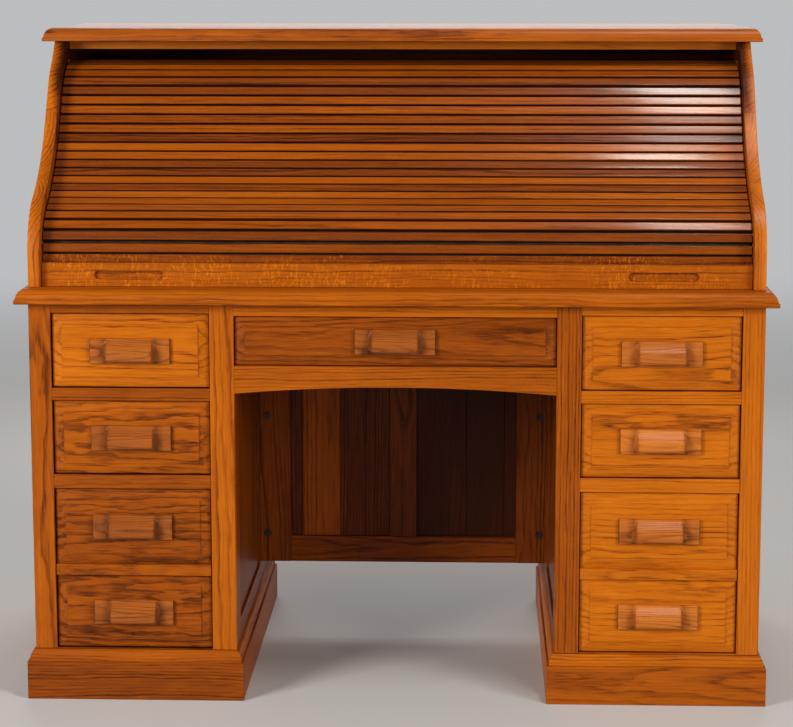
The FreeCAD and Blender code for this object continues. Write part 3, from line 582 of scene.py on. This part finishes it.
def pulls(node, tone):
    """Replaces the plain pulls of a CAD node by carved ones at the same places."""
    bm, draws = new_bmesh(), chances(node)
    for rings in solids(NODES[node].data):
        points = np.array([p for ring in rings for p in ring])
        low, high = points.min(0), points.max(0)
        middle = (low + high) / 2
        one_pull(bm, (middle[X], high[Y], middle[Z]), draws, tone)
    bmesh.ops.recalc_face_normals(bm, faces=bm.faces)
    return piece(node + "_carved", bm, BODY_OF[node], slot_of(node), [node])


# ---------------------------------------------------------------- the rest of the timber
FRONTS = {   # how much lighter or darker than the rest a front is, and how much bolder its figure
    "left_upper": (0.03, 0.0), "left_middle": (-0.14, 0.6), "left_file": (-0.20, 0.8),
    "right_upper": (0.06, 0.1), "right_middle": (0.03, 0.3), "right_file": (0.01, 0.2)}


def frame_tone(low, high):
    """The tone of a face frame's board, by which stile or rail it is."""
    middle = (low[X] + high[X]) / 2
    if high[Z] - low[Z] < 0.2 or abs(middle) > 0.5:
        return -0.20 if middle < 0 else 0.04
    return -0.02 if middle < 0 else -0.20


def depths(places):
    """How far each place lies behind the front-most one, in mm."""
    return (places[:, Y] - places[:, Y].min()) / MM


def frame_gap_shade(places):
    """Painted shade on the edges of a face frame that lie behind its face, in the gaps round the drawers."""
    off_middle = np.abs(places[:, X])
    beside_drawer = (off_middle > 0.334) & (off_middle < 0.623)
    return 0.7 * np.clip((depths(places) - 0.3) / 2.2, 0, 1) * beside_drawer


def front_gap_shade(places):
    """Painted shade on the edges of a drawer front, behind its bevel, in the gap round it."""
    return 0.7 * np.clip((depths(places) - 7.2) / 1.5, 0, 1)


def rail_recess_shade(places):
    """Painted shade in the lift rail's finger grooves, and on the narrow slat above it, which lies back from its
    face.
    """
    depth = depths(places)
    groove_x, groove_half, groove_top, slat_foot = 0.481, 0.07, 0.795, 0.8055
    off_groove = np.abs(np.abs(places[:, X]) - groove_x)
    beside_groove = (off_groove < groove_half) & (places[:, Z] < groove_top)
    slat = (places[:, Z] > slat_foot) & (depth > 11)
    return 0.07 * np.clip(depth / 6, 0, 1) * beside_groove + 0.22 * slat


def roll_inside_shade(places):
    """Painted shade on the inner face of a roll side, with more where the curtain goes into its store."""
    inner_x, store_foot = 0.648, 1.10
    return (0.25 + 0.55 * (places[:, Z] > store_foot)) * (np.abs(places[:, X]) < inner_x)


def roll_back_shade(places):
    """Painted shade on the side of the roll's back that faces the curtain, inside the desk."""
    return 0.55 * (places[:, Y] < places[:, Y].mean())


def slat_tone_and_shade(low, high):
    """The tone of a slat, darkened as painted shade on slats that face up; the one that leads into the store is
    darker still, painted shade under the top.
    """
    return -0.36 if low[Z] > 1.14 else -0.2


def modesty_tone_and_shade(low, high):
    """The tone of a board of the modesty panel, which is of unlike planks, all darkened as painted shade in the
    kneehole.
    """
    middle = (low[X] + high[X]) / 2
    if -0.21 < middle < -0.12:    # the one light plank
        return -0.22
    if abs(middle) < 0.02 or abs(middle) > 0.25:    # the muntin and the stiles
        return -0.37
    return -0.57 if middle < 0 else -0.65


for side in ("left", "right"):
    boards(f"{side}_face_frame", 1.2 * MM, tone=frame_tone, painted_shade=frame_gap_shade)
    boards(f"{side}_outer_side", 1.2 * MM, strip=98 * MM)
    # the pedestal's side in the kneehole is darkened: painted shade
    boards(f"{side}_inner_side", 1.2 * MM, strip=98 * MM, tone=-0.42)
    boards(f"{side}_roll_side", 1.6 * MM, Z, 104 * MM, tone=0.04 if side == "left" else 0.10,
           painted_shade=roll_inside_shade)
    for drawer in ("upper", "middle", "file"):
        tone, bold = FRONTS[f"{side}_{drawer}"]
        boards(f"{side}_{drawer}_front", 0.9 * MM, X, tone=tone, painted_shade=front_gap_shade, bold=bold)
        pulls(f"{side}_{drawer}_pull" + ("s" if drawer == "file" else ""),
              -0.06 if side == "left" else 0.14)
        grained(f"{side}_{drawer}_box")
    grained(f"{side}_runners")
    boards(f"gallery_{side}_drawer", 0.8 * MM)
boards("centre_front", 0.9 * MM, X, tone=-0.32, painted_shade=front_gap_shade)
pulls("centre_pull", -0.14)
grained("centre_box")
grained("centre_runners")
boards("kneehole_rail", 1.0 * MM)
boards("kneehole_apron", 1.0 * MM, tone=-0.12)
boards("frieze_rail", 1.0 * MM, tone=-0.02)
boards("lift_rail", 1.4 * MM, tone=-0.2, painted_shade=rail_recess_shade)
boards("modesty_panel", 1.2 * MM, tone=modesty_tone_and_shade)
boards("roll_back", 1.0 * MM, strip=90 * MM, painted_shade=roll_back_shade)
boards("gallery_case", 0.8 * MM)
grained("modesty_cleats", tone=-0.4)
grained("pedestal_backs", strip=92 * MM)
grained("pedestal_bottoms", strip=92 * MM)
NODES["modesty_bolts"].material_slots[0].material = FINISHES["bolt_steel"]
LINKS = 8
for number in range(1, LINKS + 1):
    boards(f"tambour_link_{number}", 1.3 * MM, tone=slat_tone_and_shade, slats=True)


# ---------------------------------------------------------------- canvas
SLIT = 0.4 * MM    # a strip ends this far short of a hinge, clear of its neighbour when it turns


def hinges():
    """Places of the curtain's hinges on the canvas line, in order from the lift rail."""
    spots = {j["name"]: j.get("pos_m") for j in frame["joints"]}
    return [Vector(spots[f"tambour_hinge_{n}"]) for n in range(1, LINKS + 1)]


def canvas_strips():
    """The canvas as one strip behind each stiff part of the curtain, cut at the hinges."""
    source = NODES["tambour_canvas"]
    spots = hinges()
    low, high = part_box("tambour_canvas")
    foot = Vector((0, low.y, low.z - 5 * MM))
    cuts = [foot] + spots + [spots[-1] + (spots[-1] - spots[-2]) * 1.3]
    for k in range(LINKS + 1):
        bm = new_bmesh()
        bm.from_mesh(source.data)
        bmesh.ops.remove_doubles(bm, verts=bm.verts, dist=WELD)
        for end, keep_above in ((k, True), (k + 1, False)):
            before, after = cuts[max(end - 1, 0)], cuts[min(end + 1, LINKS + 1)]
            normal = (after - before).normalized()
            spot = cuts[end] + normal * (SLIT if keep_above else -SLIT)
            geometry = bm.verts[:] + bm.edges[:] + bm.faces[:]
            bmesh.ops.bisect_plane(bm, geom=geometry, plane_co=spot, plane_no=normal,
                                   clear_inner=keep_above, clear_outer=not keep_above)
        bmesh.ops.holes_fill(bm, edges=bm.edges, sides=0)
        bmesh.ops.recalc_face_normals(bm, faces=bm.faces)
        body = f"tambour_{k}" if k else "lift_rail"
        strip = piece(f"canvas_strip_{k}", bm, body, "canvas",
                      ["tambour_canvas"] if k == 0 else [])


canvas_strips()


# ---------------------------------------------------------------- floor, lights, camera
def floor():
    """A plain pale floor that fades out into the pale world around it."""
    bm = bmesh.new()
    bmesh.ops.create_circle(bm, cap_ends=True, radius=8.0, segments=64)
    mesh = bpy.data.meshes.new("floor")
    bm.to_mesh(mesh)
    bm.free()
    made = bpy.data.objects.new("floor", mesh)
    bpy.context.scene.collection.objects.link(made)
    t = Tree("floor_paint")
    place = t.add("ShaderNodeTexCoord", {}, "Object")
    away = t.add("ShaderNodeVectorMath", {0: place}, "Value", operation="LENGTH")
    speck = t.noise(place, 3)
    mesh.materials.append(t.surface(
        t.ramp(speck, [(0.3, (0.60, 0.59, 0.575)), (0.7, (0.63, 0.62, 0.605))]), 0.8, speck, 0.0,
        Alpha=t.remap(away, 1.8, 6.0, 1.0, 0.0, smooth=True)))


def area_light(name, place, aim, size, power, colour=(1, 1, 1), seen=True):
    """A soft light of a size in metres and a power in watts. The camera may not see it itself."""
    light = bpy.data.lights.new(name, "AREA")
    light.shape, light.size, light.size_y = "RECTANGLE", size[0], size[1]
    light.energy, light.color = power, colour
    made = bpy.data.objects.new(name, light)
    made.location = place
    made.rotation_euler = (Vector(aim) - Vector(place)).to_track_quat("-Z", "Y").to_euler()
    made.visible_camera = seen
    bpy.context.scene.collection.objects.link(made)


def studio():
    """A world that is pale behind the desk but dim as a light, and the lights."""
    world = bpy.data.worlds.new("studio")
    world.use_nodes = True
    nodes, links = world.node_tree.nodes, world.node_tree.links
    sky, path = nodes["Background"], nodes.new("ShaderNodeLightPath")
    strength = nodes.new("ShaderNodeMath")
    strength.operation = "MULTIPLY_ADD"
    as_light, more_behind = 0.12, 0.40
    sky.inputs["Color"].default_value = (0.97, 0.98, 1.0, 1)
    strength.inputs[1].default_value = more_behind
    strength.inputs[2].default_value = as_light
    links.new(path.outputs["Is Camera Ray"], strength.inputs[0])
    links.new(strength.outputs[0], sky.inputs["Strength"])
    bpy.context.scene.world = world
    area_light("key", (-3.0, -3.1, 1.9), (0, -0.3, 0.55), (1.5, 1.5), 142, (1.0, 0.98, 0.95))
    area_light("fill", (3.1, -3.0, 1.7), (0, -0.3, 0.6), (1.5, 1.5), 86, (1.0, 0.98, 0.96))
    area_light("softbox", (0.71, -1.0, 3.0), (0.5, -0.1, 1.0), (0.25, 0.8), 18, (1.0, 0.97, 0.9))
    area_light("back", (0.0, 3.0, 3.2), (0, 1.2, 0.3), (3.0, 1.2), 50)
    # the card is what the top board's upper face reflects
    area_light("card", (0.0, 2.4, 1.75), (0, 0.2, 1.3), (3.4, 1.1), 16, seen=False)


def camera():
    """The photograph's view of the front: from a little right of the middle, and looking down."""
    down, left = 0.14426, 0.03453    # radians from level and from straight ahead
    data = bpy.data.cameras.new("camera")
    data.lens, data.sensor_width, data.shift_y = 101.12, 36, -0.08
    made = bpy.data.objects.new("camera", data)
    made.location = (0.1391, -4.3, 1.3172)
    made.rotation_euler = (math.pi / 2 - down, 0, left)
    bpy.context.scene.collection.objects.link(made)
    bpy.context.scene.camera = made


floor()
studio()
camera()
bpy.context.scene.view_settings.view_transform = "Standard"
